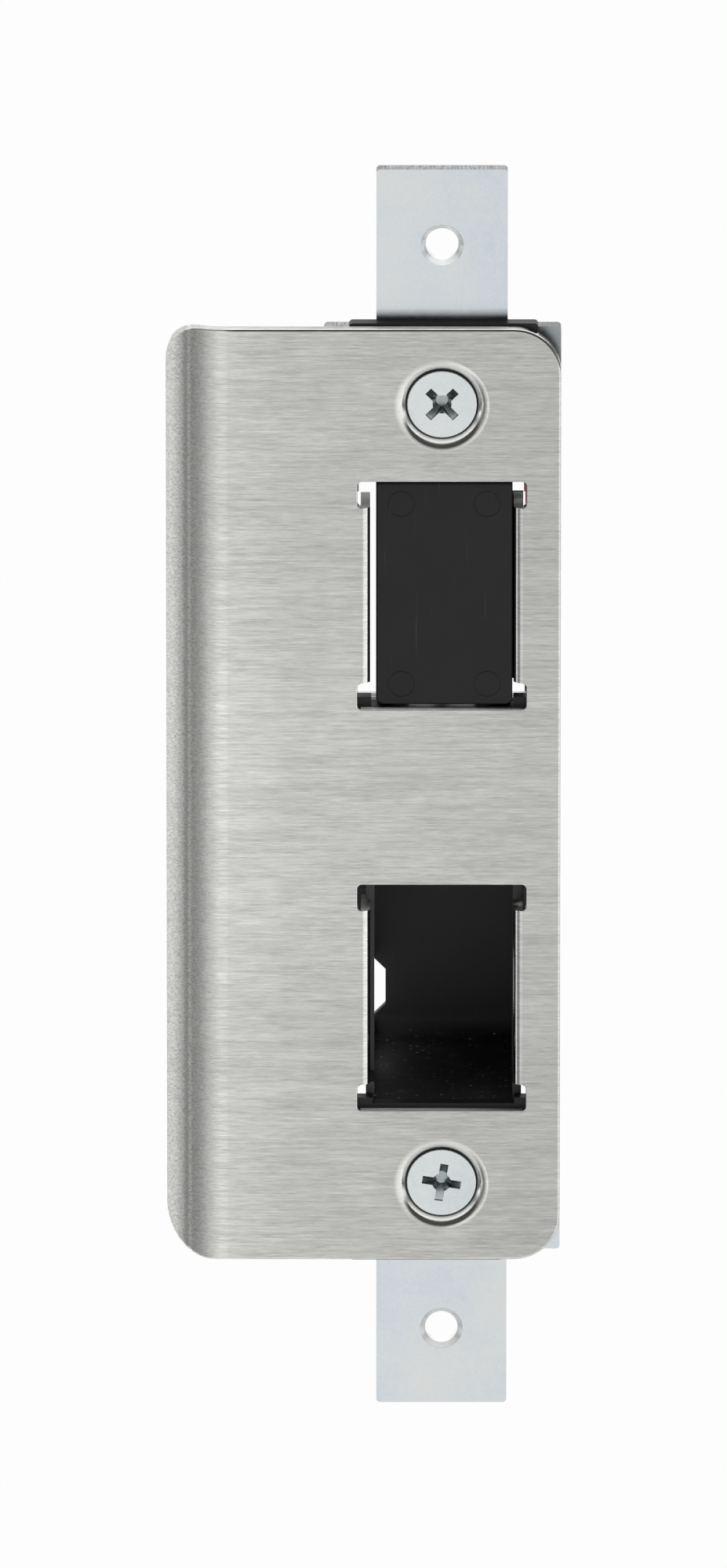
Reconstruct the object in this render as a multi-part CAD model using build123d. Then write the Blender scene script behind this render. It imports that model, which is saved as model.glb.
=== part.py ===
"""Electric door strike with a fixed curved lip, a latch-ejecting shoe and a deadbolt dust box.

Millimetres. X right, Y into the door frame, Z up. The origin is midway between the two fixing
holes, on the front face of the bracket's tabs. The strike plate's front face is at y = -3.
"""

import math
import os

from build123d import *

# ---- driving dimensions -------------------------------------------------------------------

FACE_Y = -3.0
STRIKE_T = 1.2
STRIKE_LEFT = -35.4
STRIKE_RIGHT = 15.25
STRIKE_HALF_H = 62.8
LIP_START = -27.5
LIP_R = 10.6
LIP_ANGLE = 48.0
CORNER_R = 6.0
LIP_CORNER_TOP = (4.1, 5.2)
LIP_CORNER_LOW = (5.9, 7.2)
EDGE_R = 0.35

UPPER_Z = 27.0
UPPER_HALF_W = 9.2
LOWER_Z = -27.25
LOWER_HALF_W = 9.2
OPEN_HALF_H = 15.3
RELIEF_HALF_W = 10.85
RELIEF_H = 3.5
FOLD_DEPTH = 7.2
FOLD_R = 1.15

SCREW_Z = 52.5
SCREW_HEAD_R = 4.48
SCREW_SINK = 0.7
HEAD_LAND = 0.3
DIMPLE_R = 5.5
DIMPLE_RIM_R = 1.3
SCREW_R = 2.48
SCREW_L = 12.0

FRAME_T = 1.8
BRACKET_T = 2.0
TAB_HALF_W = 8.4
TAB_HALF_H = 83.2
TAB_HOLE_Z = 73.1
TAB_HOLE_R = 2.1

SHOE_LEFT = -8.45
SHOE_RIGHT = 9.05
SHOE_LOW = 12.2
SHOE_HIGH = 42.05
SHOE_FRONT = -2.4
SHOE_WALL = 1.6
SHOE_SIDE = 1.3
SHOE_TRAVEL = 11.0
EJECTOR_R = 1.75
EJECTOR_X = 5.5
EJECTOR_Z = 12.1

ROD_X = 4.8
ROD_Z = 35.5
ROD_R = 1.5
BOSS_R = 3.1
BOSS_END = 15.0
BRIDGE_Y = 31.5
BRIDGE_T = 1.5

CHEEK_X = 11.9
SHEET = 1.2
CAGE_DEPTH = 34.0
CAGE_FLOOR = -9.9
CAGE_TOP = 48.2

PIVOT_Y = 11.5
PIVOT_Z = 8.0
ARM_R = 16.0
LEAN = math.degrees(math.asin(SHOE_TRAVEL / 2 / ARM_R))
NOSE_R = 1.5
NOSE_PIN_R = 0.75
PAD_GAP = 0.35
COIL_Z = -1.0
PIN_R = 1.0

YOKE_FRONT = 18.1
YOKE_BACK = 35.0
YOKE_HALF_W = 8.2
YOKE_T = 1.5

BOX_LEFT = -8.65
BOX_RIGHT = 9.15
BOX_LOW = -41.9
BOX_HIGH = -11.6
BOX_WALL = 1.1
BOX_FLOOR_R = 3.0
BOX_BACK = 26.4

NOSE_Y = PIVOT_Y - SHOE_TRAVEL / 2
NOSE_Z = PIVOT_Z + ARM_R * math.cos(math.radians(LEAN))
PAD_BACK = NOSE_Y - NOSE_R - PAD_GAP
LINK_Y = PIVOT_Y + (PIVOT_Z - COIL_Z) * math.tan(math.radians(LEAN))


# ---- helpers ------------------------------------------------------------------------------

def block(x0, x1, y0, y1, z0, z1):
    """A box between two corners."""
    return Pos((x0 + x1) / 2, (y0 + y1) / 2, (z0 + z1) / 2) * Box(x1 - x0, y1 - y0, z1 - z0)


def rod_y(x, z, r, y0, y1):
    """A cylinder along Y."""
    return Pos(x, (y0 + y1) / 2, z) * Rot(90, 0, 0) * Cylinder(r, y1 - y0)


def rod_x(y, z, r, x0, x1):
    """A cylinder along X."""
    return Pos((x0 + x1) / 2, y, z) * Rot(0, 90, 0) * Cylinder(r, x1 - x0)


def rod_z(x, y, r, z0, z1):
    """A cylinder along Z."""
    return Pos(x, y, (z0 + z1) / 2) * Cylinder(r, z1 - z0)


def cone_y(x, z, r0, r1, y0, y1):
    """A cone along Y with radius r0 at y0 and r1 at y1."""
    return Pos(x, (y0 + y1) / 2, z) * Rot(-90, 0, 0) * Cone(r0, r1, y1 - y0)


def slab_xz(points, y0, y1):
    """A prism of an X-Z outline between two depths."""
    face = Plane.XZ * make_face(Polyline(*points, close=True))
    return Pos(0, y1, 0) * extrude(face, y1 - y0)


def save(shape, node):
    """Writes one node."""
    export_step(shape, f"parts/{node}.step")


def group(shapes, node):
    """Writes several separate solids as one node."""
    save(Compound(children=list(shapes)), node)


# ---- front plate --------------------------------------------------------------------------

def lip_corner(sign, wide, high):
    """What an elliptical corner of the lip removes, at the top (1) or the bottom (-1)."""
    x = STRIKE_LEFT + wide
    z = sign * (STRIKE_HALF_H - high)
    z_out = sign * (STRIKE_HALF_H + 1)
    waste = block(STRIKE_LEFT - 3, x, -10, 10, min(z, z_out), max(z, z_out))
    oval = extrude(Plane.XZ * Ellipse(wide, high), 15, both=True)
    return waste - Pos(x, 0, z) * oval


def strike_sheet():
    """The flat sheet with its lip curling back on the left, before any opening."""
    y = FACE_Y
    a = math.radians(LIP_ANGLE)
    outer = LIP_R
    inner = LIP_R - STRIKE_T
    cx = LIP_START
    cy = y + outer
    mid = a / 2
    p0 = (STRIKE_RIGHT, y)
    p1 = (cx, y)
    p2 = (cx - outer * math.sin(mid), cy - outer * math.cos(mid))
    p3 = (cx - outer * math.sin(a), cy - outer * math.cos(a))
    p4 = (cx - inner * math.sin(a), cy - inner * math.cos(a))
    p5 = (cx - inner * math.sin(mid), cy - inner * math.cos(mid))
    p6 = (cx, y + STRIKE_T)
    p7 = (STRIKE_RIGHT, y + STRIKE_T)
    outline = [
        Line(p0, p1),
        ThreePointArc(p1, p2, p3),
        Line(p3, p4),
        ThreePointArc(p4, p5, p6),
        Line(p6, p7),
        Line(p7, p0),
    ]
    sheet = extrude(make_face(outline), STRIKE_HALF_H, both=True)
    corner_right = Plane.XZ * RectangleRounded(60, 2 * STRIKE_HALF_H, CORNER_R)
    trim = Pos(STRIKE_RIGHT - 30, 20, 0) * extrude(corner_right, 60)
    keep_left = block(-60, STRIKE_RIGHT - 20, -40, 20, -80, 80)
    sheet = sheet & (trim + keep_left)
    sheet = sheet - lip_corner(1, *LIP_CORNER_TOP) - lip_corner(-1, *LIP_CORNER_LOW)
    face = sheet.faces().filter_by(Axis.Y).sort_by(Axis.Y)[0]
    rim = [e for e in face.edges() if abs(e.center().X - LIP_START) > 0.01]
    return fillet(rim, EDGE_R)


def folded_side(sign, zc, x_in):
    """One side of an opening, folded back through a right angle."""
    y = FACE_Y
    r_in = FOLD_R
    x_out = x_in + STRIKE_T
    x_flat = x_in + FOLD_R + 0.85
    half = OPEN_HALF_H - RELIEF_H - 0.05
    mid = math.radians(45)
    centre = (x_in + r_in, y + r_in)
    small = 0.15
    inner = (x_out + small, y + STRIKE_T + small)
    outline = [
        Line((x_flat, y), (centre[0], y)),
        ThreePointArc(
            (centre[0], y),
            (centre[0] - r_in * math.sin(mid), centre[1] - r_in * math.cos(mid)),
            (x_in, centre[1]),
        ),
        Line((x_in, centre[1]), (x_in, y + FOLD_DEPTH)),
        Line((x_in, y + FOLD_DEPTH), (x_out, y + FOLD_DEPTH)),
        Line((x_out, y + FOLD_DEPTH), (x_out, inner[1])),
        ThreePointArc(
            (x_out, inner[1]),
            (inner[0] - small * math.cos(mid), inner[1] - small * math.sin(mid)),
            (inner[0], y + STRIKE_T),
        ),
        Line((inner[0], y + STRIKE_T), (x_flat, y + STRIKE_T)),
        Line((x_flat, y + STRIKE_T), (x_flat, y)),
    ]
    side = Pos(0, 0, zc) * extrude(make_face(outline), half, both=True)
    if sign < 0:
        side = mirror(side, Plane.YZ)
    return side


def strike_opening(zc, half_w):
    """What is cut from the flat sheet for one opening with its four relief slots."""
    half = OPEN_HALF_H
    wide = half_w + FOLD_R + 0.3
    cut = block(-half_w, half_w, -8, 0, zc - half, zc + half)
    cut += block(-wide, wide, -8, 0, zc - half + RELIEF_H, zc + half - RELIEF_H)
    for s in (-1, 1):
        z0 = zc + s * (half - RELIEF_H / 2)
        slot = block(-RELIEF_HALF_W, RELIEF_HALF_W, -8, 0, z0 - RELIEF_H / 2, z0 + RELIEF_H / 2)
        cut += fillet(slot.edges().filter_by(Axis.Y), 0.6)
    return cut


def dimple(zc):
    """Adds and cuts for one pressed screw dimple: (added, removed)."""
    y = FACE_Y
    back = -0.03
    outer = DIMPLE_R + STRIKE_T * math.sqrt(2)
    added = cone_y(0, zc, outer, outer - (back - y), y, back)
    removed = cone_y(0, zc, DIMPLE_R, DIMPLE_R - 3.2, y, y + 3.2)
    removed += rod_y(0, zc, 2.65, y - 1, y + 4)
    return added, removed


def strike_plate():
    plate = strike_sheet()
    for zc, half_w in ((UPPER_Z, UPPER_HALF_W), (LOWER_Z, LOWER_HALF_W)):
        plate -= strike_opening(zc, half_w)
        for sign in (-1, 1):
            plate += folded_side(sign, zc, half_w)
    for zc in (SCREW_Z, -SCREW_Z):
        added, removed = dimple(zc)
        plate = plate + added - removed
    face = plate.faces().filter_by(Axis.Y).sort_by(Axis.Y)[0]
    mouths = [e for e in face.edges().filter_by(Axis.X) if 15 < e.length < 25]
    plate = fillet(mouths, 0.15)
    face = plate.faces().filter_by(Axis.Y).sort_by(Axis.Y)[0]
    rings = [e for e in face.edges().filter_by(GeomType.CIRCLE)]
    rings = [e for e in rings if abs(abs(e.arc_center.Z) - SCREW_Z) < 0.1]
    return fillet(rings, DIMPLE_RIM_R)


def cross_recess(turn):
    """The screw driver's cross, pointing into the head along +Y."""
    cross = Box(5.0, 2.4, 1.05) + Box(1.05, 2.4, 5.0)
    taper = Rot(-90, 0, 0) * Cone(3.3, 0.7, 2.6)
    core = Rot(-90, 0, 0) * Cone(1.25, 0.5, 2.4)
    return Rot(0, turn, 0) * ((cross & taper) + core)


def strike_screw(zc, turn):
    """M5 countersunk screw with a flat head and a cross recess."""
    y = FACE_Y + SCREW_SINK
    neck = y + HEAD_LAND + SCREW_HEAD_R - SCREW_R
    land = rod_y(0, zc, SCREW_HEAD_R, y, y + HEAD_LAND)
    screw = fillet(land.edges().sort_by(Axis.Y)[0], 0.12)
    screw += cone_y(0, zc, SCREW_HEAD_R, SCREW_R, y + HEAD_LAND, neck)
    screw += rod_y(0, zc, SCREW_R, neck, y + SCREW_L - 0.6)
    screw += cone_y(0, zc, SCREW_R, SCREW_R - 0.6, y + SCREW_L - 0.6, y + SCREW_L)
    return screw - Pos(0, y + 1.1, zc) * cross_recess(turn)


# ---- frame and bracket --------------------------------------------------------------------

def front_frame():
    body = block(-11.9, 12.3, -FRAME_T, 0, -63.15, 63.2)
    corners = body.edges().filter_by(Axis.Y)
    low_right = corners.sort_by(Axis.Z)[:2].sort_by(Axis.X)[-1]
    body = fillet([e for e in corners if e is not low_right], 0.5)
    corners = body.edges().filter_by(Axis.Y)
    body = fillet(corners.sort_by(lambda e: e.center().X - e.center().Z)[-1], 5.0)
    body -= block(-11.05, 11.15, -5, 5, 13.05, 43.7)
    body -= block(-9.05, 9.2, -5, 5, 11.75, 20)
    body -= block(-11.05, 11.15, -5, 5, -41.15, -11.2)
    body -= block(-8.85, 9.35, -5, 5, BOX_LOW, -30)
    for zc in (SCREW_Z, -SCREW_Z):
        body -= rod_y(0, zc, 6.4, -5, 5)
    return body


def mounting_bracket():
    body = block(-15.1, 15.25, 0, BRACKET_T, -62.25, 62.25)
    body += block(-TAB_HALF_W, TAB_HALF_W, 0, BRACKET_T, -TAB_HALF_H, TAB_HALF_H)
    body = fillet(body.edges().filter_by(Axis.Y), 0.5)
    body -= block(-11.2, 11.2, -5, 5, 10.4, 43.7)
    body -= block(-11.2, 11.2, -5, 5, -43.5, -10.9)
    for zc in (SCREW_Z, -SCREW_Z):
        body += rod_y(0, zc, 4.2, BRACKET_T - 0.5, 6)
        body -= rod_y(0, zc, 2.53, -5, 10)
    for zc in (TAB_HOLE_Z, -TAB_HOLE_Z):
        body -= rod_y(0, zc, TAB_HOLE_R, -5, 5)
        body -= cone_y(0, zc, 2.75, 2.1, 0, 0.65)
    for x, z in RIVETS:
        body -= rod_y(x, z, 1.53, -5, 5)
    for x, z in BOX_SCREWS:
        body -= rod_y(x, z, 1.27, -5, 5)
    return body


# ---- dust box -----------------------------------------------------------------------------

BOX_SCREWS = [(0.2, -6.6), (-6.0, -46.0), (6.4, -46.0)]


def dust_box():
    w = BOX_WALL
    x0 = BOX_LEFT
    x1 = BOX_RIGHT
    outer = block(x0 - w, x1 + w, 0.1, BOX_BACK + w, BOX_LOW - w, BOX_HIGH + w)
    outer = fillet(outer.edges().filter_by(Axis.Y), 0.8)
    inner = block(x0, x1, -1, BOX_BACK, BOX_LOW, BOX_HIGH)
    floor_edge = inner.edges().filter_by(Axis.X).sort_by(lambda e: e.center().Y - e.center().Z)[-1]
    inner = fillet(floor_edge, BOX_FLOOR_R)
    flange = block(-9.5, 9.9, 2.1, 3.5, -48.0, -42.5)
    flange += block(-4.3, 4.7, 2.1, 3.5, -11.2, -3.2)
    flange = fillet(flange.edges().filter_by(Axis.Y), 0.6)
    lip_clear = FACE_Y + FOLD_DEPTH + 0.3
    ears = block(-11.1, 11.1, lip_clear, lip_clear + 1.3, -18.4, BOX_HIGH + w - 0.9)
    ears = fillet(ears.edges().filter_by(Axis.Y), 0.8)
    body = outer + flange + ears - inner
    body -= block(-12, x0, -1, lip_clear, -39.6, -14.9)
    body -= block(x1, 12, -1, lip_clear, -39.6, -14.9)
    body -= block(-12, 12, -1, 2.05, -12.2, -9.0)
    c = 1.6
    z0 = -39.25
    z1 = -31.3
    notch = [
        (-12, z0),
        (-7.2 - c, z0),
        (-7.2, z0 + c),
        (-7.2, z1 - c),
        (-7.2 - c, z1),
        (-12, z1),
    ]
    body -= slab_xz(notch, BOX_BACK - 1.5, BOX_BACK + 5)
    body -= slab_xz([(-12, z0), (x0 + 0.01, z0), (x0 + 0.01, z1), (-12, z1)], 17.5, BOX_BACK + 5)
    for x, z in BOX_SCREWS:
        body -= rod_y(x, z, 1.4, 0, 6)
    body -= rod_y(0, -SCREW_Z, 4.6, 0, 8)
    return body


def pan_screw(x, z, y_head, length, r=1.22, head_r=2.25, head_h=1.4):
    """A pan-head screw that points to -Y, with its head behind y_head."""
    screw = rod_y(x, z, head_r, y_head, y_head + head_h)
    screw = fillet(screw.edges().sort_by(Axis.Y)[-1], 0.6)
    screw += rod_y(x, z, r, y_head - length, y_head)
    slot = Box(2.6, 1.6, 0.55) + Box(0.55, 1.6, 2.6)
    return screw - Pos(x, y_head + head_h, z) * slot


# ---- cage ---------------------------------------------------------------------------------

RIVETS = [(-8.5, 5.0), (8.5, 5.0), (-8.5, -5.0), (8.5, -5.0), (-8.5, 46.0), (8.5, 46.0)]
YOKE_SCREWS = [(-5.0, 22.0), (5.0, 31.0)]


def cheek(sign):
    x0 = CHEEK_X
    x1 = CHEEK_X + SHEET
    y0 = BRACKET_T + 0.05
    outline = [
        (y0, CAGE_FLOOR),
        (CAGE_DEPTH, CAGE_FLOOR),
        (CAGE_DEPTH, 42.0),
        (28.0, CAGE_TOP),
        (y0, CAGE_TOP),
    ]
    face = Plane.YZ * make_face(Polyline(*outline, close=True))
    side = Pos(x0, 0, 0) * extrude(face, SHEET)
    side = fillet(side.edges().filter_by(Axis.X).sort_by(Axis.Y)[-2:], 1.0)
    side += block(5.2, x1, y0, y0 + SHEET, -8.2, 8.2)
    side += block(5.2, x1, y0, y0 + SHEET, 43.9, CAGE_TOP)
    side -= rod_x(PIVOT_Y, PIVOT_Z, 1.52, 0, 20)
    for z in (33.6, 38.6):
        side -= rod_x(BRIDGE_Y - 3.0, z, 1.27, 5, 20)
    side -= block(x0 - 1, x1 + 1, 8.0, 24.0, 17.0, 38.0)
    if sign < 0:
        side = mirror(side, Plane.YZ)
    return side


def cage():
    x1 = CHEEK_X + SHEET
    body = cheek(1) + cheek(-1)
    body += block(-x1, x1, 6.5, CAGE_DEPTH, CAGE_FLOOR, CAGE_FLOOR + SHEET)
    body += block(-x1, x1, 12.0, 27.0, 44.6, 44.6 + SHEET)
    for x, z in RIVETS:
        body -= rod_y(x, z, 1.53, 0, 6)
    for x, y in YOKE_SCREWS:
        body -= rod_z(x, y, 1.35, -12, -5)
        cut = Pos(x, y, CAGE_FLOOR + 0.6) * Cone(2.5, 1.3, 1.2)
        body -= cut
    body -= rod_z(-5.0, 19.5, 1.35, 40, 50)
    body -= block(9.4, 11.85, 21.5, 25.6, 40, 50)
    return body


def rivet(x, z):
    """Flush at the bracket's front face, domed behind the cage's foot."""
    y1 = BRACKET_T + 0.05 + SHEET
    shank = rod_y(x, z, 1.5, 0.05, y1)
    head = rod_y(x, z, 2.5, y1, y1 + 0.9)
    head = fillet(head.edges().sort_by(Axis.Y)[-1], 0.6)
    return shank + head


def spring_bridge():
    y0 = BRIDGE_Y
    x1 = CHEEK_X - 0.05
    body = block(-x1, x1, y0, y0 + BRIDGE_T, 31.7, 40.4)
    for s in (-1, 1):
        side = block(x1 - SHEET, x1, y0 - 5.4, y0 + BRIDGE_T, 32.0, 40.4)
        if s < 0:
            side = mirror(side, Plane.YZ)
        body += side
    for x in (-ROD_X, ROD_X):
        body -= rod_y(x, ROD_Z, 1.28, y0 - 1, y0 + 5)
    for z in (33.6, 38.6):
        body -= rod_x(y0 - 3.0, z, 1.05, -20, 20)
    return body


def bridge_screw(sign, z):
    """M2.5 pan-head screw through a cheek into the bridge's flange."""
    x = CHEEK_X + SHEET
    y = BRIDGE_Y - 3.0
    head = rod_x(y, z, 2.25, x, x + 1.4)
    head = fillet(head.edges().sort_by(Axis.X)[-1], 0.6)
    screw = head + rod_x(y, z, 1.02, x - 3.2, x)
    screw -= Pos(x + 1.4, y, z) * (Box(1.6, 2.6, 0.55) + Box(1.6, 0.55, 2.6))
    if sign < 0:
        screw = mirror(screw, Plane.YZ)
    return screw


def guide_rod(x):
    """A shouldered rod: the thin end passes through the bridge and takes a nut."""
    tip = BOSS_END - 3.4
    rod = rod_y(x, ROD_Z, ROD_R, tip, BRIDGE_Y)
    rod = chamfer(rod.edges().sort_by(Axis.Y)[0], 0.4)
    rod += rod_y(x, ROD_Z, 1.25, BRIDGE_Y, BRIDGE_Y + BRIDGE_T + 2.6)
    return rod


def rod_nut(x):
    y0 = BRIDGE_Y + BRIDGE_T
    hexagon = Plane.XZ * RegularPolygon(2.9, 6)
    nut = Pos(x, y0 + 2.0, ROD_Z) * extrude(hexagon, 2.0)
    return nut - rod_y(x, ROD_Z, 1.27, y0 - 1, y0 + 5)


def spring_seat(x):
    """A washer that the spring stands on."""
    y1 = BRIDGE_Y
    return rod_y(x, ROD_Z, 3.4, y1 - 1.0, y1) - rod_y(x, ROD_Z, 1.55, y1 - 2, y1 + 1)


def shoe_spring(x):
    """Compression spring between the shoe's boss and its seat."""
    wire = 0.35
    mean = 2.35
    y0 = BOSS_END + wire + 0.03
    y1 = BRIDGE_Y - 1.0 - wire - 0.03
    turns = 5.5
    coil = Helix(pitch=(y1 - y0) / turns, height=y1 - y0, radius=mean)
    start = coil @ 0
    section = Plane(origin=start, z_dir=coil % 0) * Circle(wire)
    spring = sweep(section, path=coil, is_frenet=True)
    return Pos(x, y0, ROD_Z) * Rot(-90, 0, 0) * spring


# ---- shoe ---------------------------------------------------------------------------------

def shoe():
    x0 = SHOE_LEFT
    x1 = SHOE_RIGHT
    z0 = SHOE_LOW
    z1 = SHOE_HIGH
    front = SHOE_FRONT
    back = front + SHOE_WALL
    body = block(x0, x1, front, 4.2, z0, z1)
    low = body.edges().filter_by(Axis.Y).sort_by(Axis.Z)[:2]
    body = fillet(low, 1.0)
    body = fillet(body.edges().filter_by(Axis.Y).sort_by(Axis.Z)[-2:], 0.4)
    body = fillet(body.faces().sort_by(Axis.Y)[0].edges(), 0.35)
    body -= block(x0 + SHOE_SIDE, x1 - SHOE_SIDE, back, 5, z0 + 1.4, z1 - 1.4)
    body -= block(-4.2, 4.2, back, 5, z0 - 1, z0 + 3)
    for x in (-ROD_X, ROD_X):
        body += rod_y(x, ROD_Z, BOSS_R, back - 0.2, BOSS_END)
        body -= rod_y(x, ROD_Z, ROD_R + 0.05, back, BOSS_END + 1)
    body += block(-0.6, 0.6, back - 0.2, 3.6, 26.9, z1 - 1.0)
    body += block(-4.0, 4.0, back - 0.2, PAD_BACK - 1.0, 20.0, 26.6)
    body -= block(-1.5, 1.5, PAD_BACK - 2.4, PAD_BACK, 19.0, 23.4)
    body += block(-8.2, 8.7, -1.7, -0.5, z1 - 1.0, 43.2)
    for a, b in ((-8.3, -6.2), (6.2, 8.8)):
        body += block(a, b, 0.4, 1.8, 11.0, z0 + 1.2)
    stop_y = FACE_Y + FOLD_DEPTH + 0.3
    body += block(x1 - SHOE_SIDE, x1, 4.0, stop_y + 1.5, 13.6, 38.4)
    body += block(x1 - SHOE_SIDE, x1 + 1.4, stop_y, stop_y + 1.5, 13.6, 38.4)
    for x in (-EJECTOR_X, EJECTOR_X):
        for z in (-EJECTOR_Z, EJECTOR_Z):
            at = ((x0 + x1) / 2 + x, (z0 + z1) / 2 + z)
            ring = rod_y(*at, EJECTOR_R, front - 1, front + 0.06)
            body -= ring - rod_y(*at, EJECTOR_R - 0.14, front - 2, front + 1)
    return body


def thrust_pad():
    """Hardened wear plate on the shoe's rib, slotted to clear the rocker's arm."""
    y1 = PAD_BACK
    pad = block(-3.7, 3.7, y1 - 1.0, y1, 20.3, 26.3)
    pad = fillet(pad.edges().filter_by(Axis.Y), 0.5)
    return pad - block(-1.5, 1.5, y1 - 2.0, y1 + 1.0, 19.0, 23.4)


# ---- rocker -------------------------------------------------------------------------------

def polar(radius, up, side=0.0):
    """A point on the rocker at rest, measured from its pivot along the leaning arm."""
    a = math.radians(LEAN)
    s = radius if up else -radius
    y = PIVOT_Y - s * math.sin(a) + side * math.cos(a)
    z = PIVOT_Z + s * math.cos(a) + side * math.sin(a)
    return (y, z)


def rocker():
    """Die-cast lever: hub, upper arm with a cross bore for the nose pin, lower fork."""
    upper = [polar(0, True, -2.8), polar(ARM_R, True, -1.3), polar(ARM_R, True, 1.3),
             polar(0, True, 2.8)]
    lower = [polar(0, False, -3.0), polar(11.2, False, -2.4), polar(11.2, False, 2.4),
             polar(0, False, 3.0)]
    plate = extrude(Plane.YZ * make_face(Polyline(*upper, close=True)), 1.0, both=True)
    plate += extrude(Plane.YZ * make_face(Polyline(*lower, close=True)), 1.0, both=True)
    tip_y, tip_z = polar(ARM_R, True)
    plate += rod_x(tip_y, tip_z, 1.3, -1.0, 1.0)
    body = plate + rod_x(PIVOT_Y, PIVOT_Z, 3.3, -5.0, 5.0)
    body -= rod_x(PIVOT_Y, PIVOT_Z, 2.2, -6, 6)
    body -= rod_x(tip_y, tip_z, NOSE_PIN_R, -5, 5)
    slot = [polar(8.3, False, -1.3), polar(12.5, False, -1.3), polar(12.5, False, 1.3),
            polar(8.3, False, 1.3)]
    body -= extrude(Plane.YZ * make_face(Polyline(*slot, close=True)), 3.0, both=True)
    slot_y, slot_z = polar(8.3, False)
    body -= rod_x(slot_y, slot_z, 1.3, -3, 3)
    return body


def rocker_bush(sign):
    x0, x1 = (0.2, 5.6) if sign > 0 else (-5.6, -0.2)
    bush = rod_x(PIVOT_Y, PIVOT_Z, 2.2, x0, x1)
    return bush - rod_x(PIVOT_Y, PIVOT_Z, 1.55, -8, 8)


def nose_roller(sign):
    """One of two rollers on the nose pin, either side of the arm."""
    x0, x1 = (1.05, 3.4) if sign > 0 else (-3.4, -1.05)
    y, z = polar(ARM_R, True)
    return rod_x(y, z, NOSE_R, x0, x1) - rod_x(y, z, NOSE_PIN_R + 0.04, -8, 8)


def nose_pin():
    y, z = polar(ARM_R, True)
    return rod_x(y, z, NOSE_PIN_R, -3.7, 3.7)


def pivot_pin():
    x = CHEEK_X + SHEET + 1.1
    pin = rod_x(PIVOT_Y, PIVOT_Z, 1.5, -x, x)
    pin = chamfer(pin.edges().filter_by(GeomType.CIRCLE), 0.2)
    for s in (-1, 1):
        ring = rod_x(PIVOT_Y, PIVOT_Z, 2.0, x - 0.9, x - 0.4)
        ring -= rod_x(PIVOT_Y, PIVOT_Z, 1.15, x - 1.5, x + 0.5)
        if s < 0:
            ring = mirror(ring, Plane.YZ)
        pin -= ring
    return pin


def pivot_clip(sign):
    x = CHEEK_X + SHEET + 1.1
    clip = rod_x(PIVOT_Y, PIVOT_Z, 3.0, x - 0.85, x - 0.45)
    clip -= rod_x(PIVOT_Y, PIVOT_Z, 1.17, x - 2, x + 1)
    clip -= block(x - 2, x + 1, PIVOT_Y - 0.95, PIVOT_Y + 0.95, PIVOT_Z - 5, PIVOT_Z)
    clip -= rod_x(PIVOT_Y + 1.9, PIVOT_Z + 1.3, 0.45, x - 2, x + 1)
    clip -= rod_x(PIVOT_Y - 1.9, PIVOT_Z + 1.3, 0.45, x - 2, x + 1)
    if sign < 0:
        clip = mirror(clip, Plane.YZ)
    return clip


# ---- solenoid -----------------------------------------------------------------------------

BOBBIN_R = 4.2
SLEEVE_R = 3.75
PLUNGER_R = 3.45


def yoke():
    """A strap bent round the coil, open at both sides."""
    w = YOKE_HALF_W
    z0 = CAGE_FLOOR + SHEET + 0.05
    z1 = 7.0
    body = block(-w + 1.2, w - 1.2, YOKE_FRONT, YOKE_BACK, z0, z1)
    body = fillet(body.edges().filter_by(Axis.X), 1.0)
    body -= block(-20, 20, YOKE_FRONT + YOKE_T, YOKE_BACK - YOKE_T, z0 + YOKE_T, z1 - YOKE_T)
    body -= rod_y(0, COIL_Z, SLEEVE_R + 0.05, 0, YOKE_FRONT + 5)
    body -= rod_y(0, COIL_Z, 2.0, YOKE_BACK - 5, YOKE_BACK + 5)
    for x, y in YOKE_SCREWS:
        body -= rod_z(x, y, 1.05, -12, -5)
    return body


def yoke_screw(x, y):
    z0 = CAGE_FLOOR + 0.05
    screw = Pos(x, y, z0 + 0.55) * Cone(2.3, 1.02, 1.1)
    screw += rod_z(x, y, 1.02, z0 + 1.1, z0 + 2.6)
    return screw - Pos(x, y, z0) * (Box(2.4, 0.5, 0.9) + Box(0.5, 2.4, 0.9))


def pole_piece():
    y0 = 28.6
    core = rod_y(0, COIL_Z, PLUNGER_R, y0, YOKE_BACK - YOKE_T)
    core += rod_y(0, COIL_Z, 1.95, YOKE_BACK - YOKE_T, YOKE_BACK + 0.6)
    return core - cone_y(0, COIL_Z, 2.0, 0.01, y0 - 0.001, y0 + 2.0)


def brass_sleeve():
    y0 = YOKE_FRONT - 0.6
    y1 = YOKE_BACK - YOKE_T - 0.05
    return rod_y(0, COIL_Z, SLEEVE_R, y0, y1) - rod_y(0, COIL_Z, PLUNGER_R + 0.05, y0 - 1, y1 + 1)


def bobbin():
    y0 = YOKE_FRONT + YOKE_T + 0.05
    y1 = YOKE_BACK - YOKE_T - 0.05
    body = rod_y(0, COIL_Z, BOBBIN_R, y0, y1)
    for a, b in ((y0, y0 + 0.9), (y1 - 0.9, y1)):
        flange = block(-YOKE_HALF_W, YOKE_HALF_W, a, b, COIL_Z - 6.1, COIL_Z + 6.4)
        body += fillet(flange.edges().filter_by(Axis.Y), 1.5)
    return body - rod_y(0, COIL_Z, SLEEVE_R + 0.03, 0, 50)


def winding():
    y0 = YOKE_FRONT + YOKE_T + 1.0
    y1 = YOKE_BACK - YOKE_T - 1.0
    return rod_y(0, COIL_Z, 5.6, y0, y1) - rod_y(0, COIL_Z, BOBBIN_R + 0.03, 0, 50)


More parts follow.
